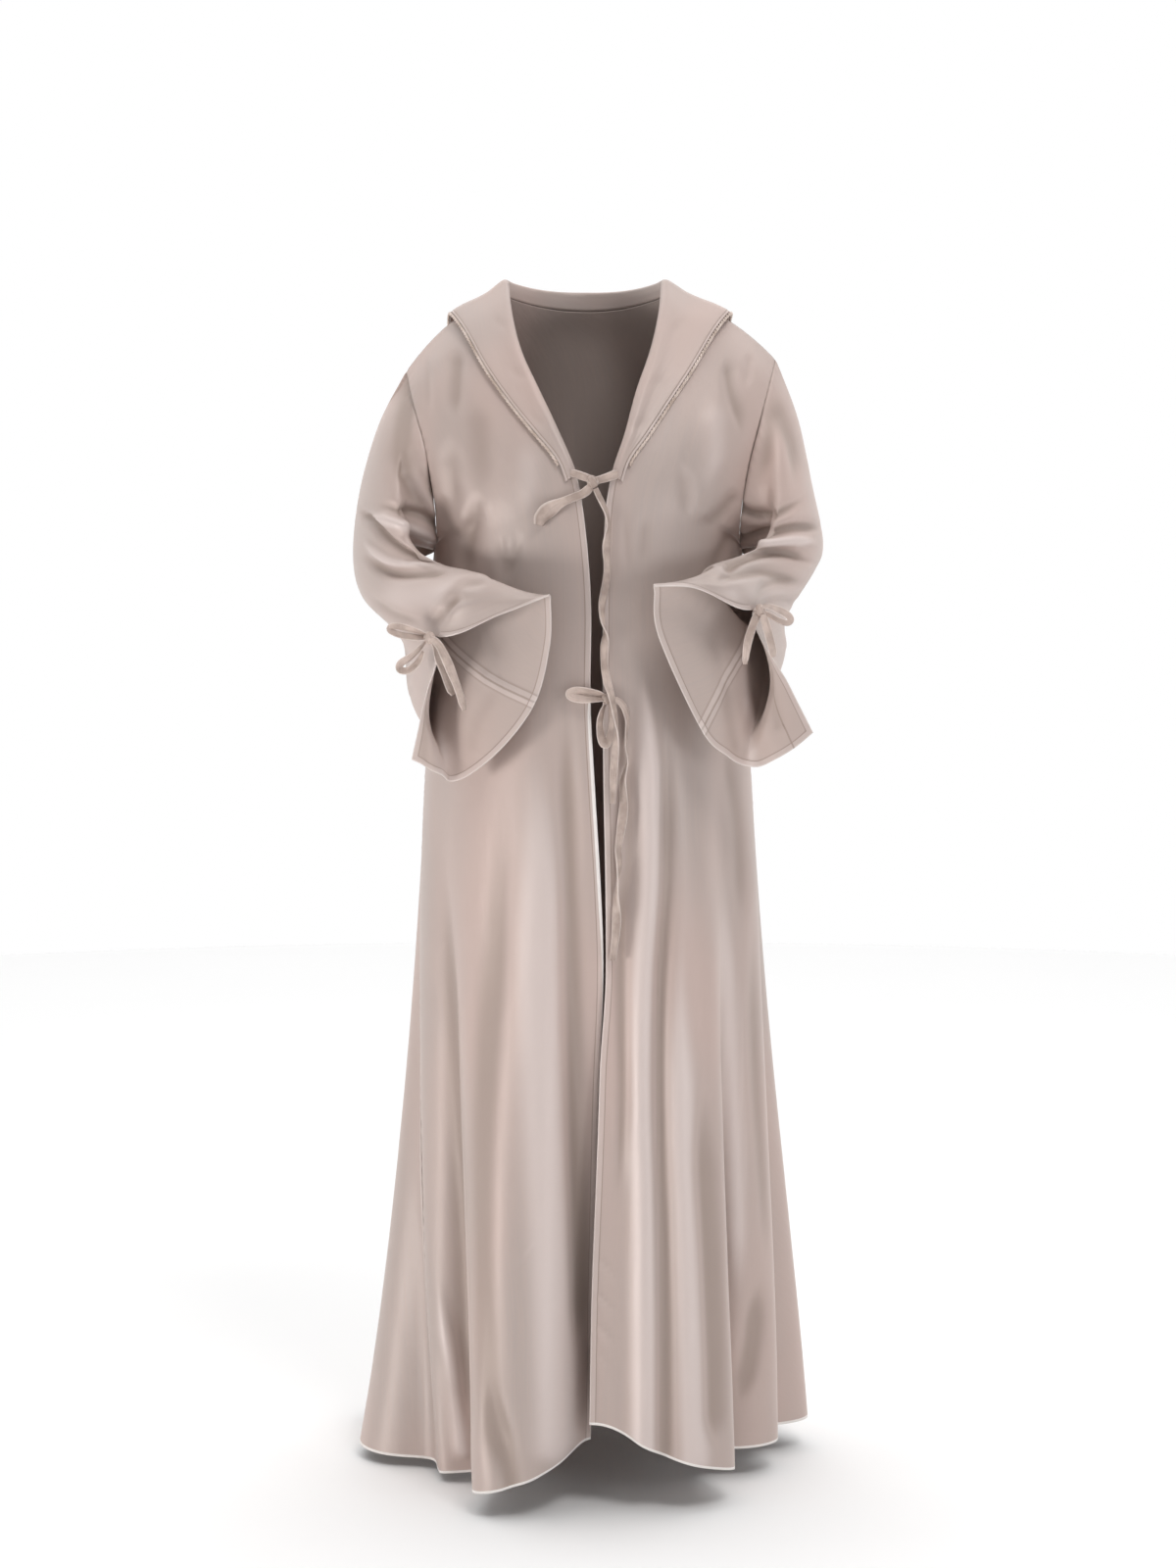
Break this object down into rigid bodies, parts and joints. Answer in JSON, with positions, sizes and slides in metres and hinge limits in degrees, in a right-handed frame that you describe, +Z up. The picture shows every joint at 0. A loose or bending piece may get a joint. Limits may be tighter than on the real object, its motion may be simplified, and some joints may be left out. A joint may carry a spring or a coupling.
{
  "type": "abaya cloak",
  "caption": "Ankle-length open-front abaya cloak in soft satin with a rolled shawl collar, wide tied cuffs and narrow front ties, in its worn pose.",
  "frame": {"origin": "midway between the two points where the shoulder seams meet the neckline, which is where the wearer's neck and shoulders hold the garment", "axes": "+Z up along the wearer, -Y the way the wearer faces, +X towards the wearer's left"},
  "size_m": [0.5334, 0.5289, 1.3431],
  "materials": {
    "body_satin": "soft satin sheen",
    "collar_satin": "soft satin sheen",
    "edging_satin": "twisted satin cord",
    "tie_satin": "soft satin sheen"
  },
  "bodies": {
    "root": {"back": "body_satin", "front_left": "body_satin", "front_right": "body_satin", "sleeve_left": "body_satin", "sleeve_right": "body_satin", "collar": "collar_satin", "collar_edging": "edging_satin", "tie_top_knot": "tie_satin", "tie_top_strap_left": "tie_satin", "tie_top_strap_right": "tie_satin", "tie_top_end": "tie_satin", "tie_top_tail": "tie_satin", "tie_waist_knot": "tie_satin", "tie_waist_strap_right": "tie_satin", "tie_waist_loop": "tie_satin", "tie_waist_lower_loop": "tie_satin", "tie_waist_tail": "tie_satin", "cuff_right_knot": "tie_satin", "cuff_right_upper_loop": "tie_satin", "cuff_right_lower_loop": "tie_satin", "cuff_right_end": "tie_satin", "cuff_right_outer_end": "tie_satin", "cuff_left_knot": "tie_satin", "cuff_left_loop": "tie_satin", "cuff_left_end": "tie_satin", "cuff_left_outer_end": "tie_satin"}
  },
  "joints": []
}
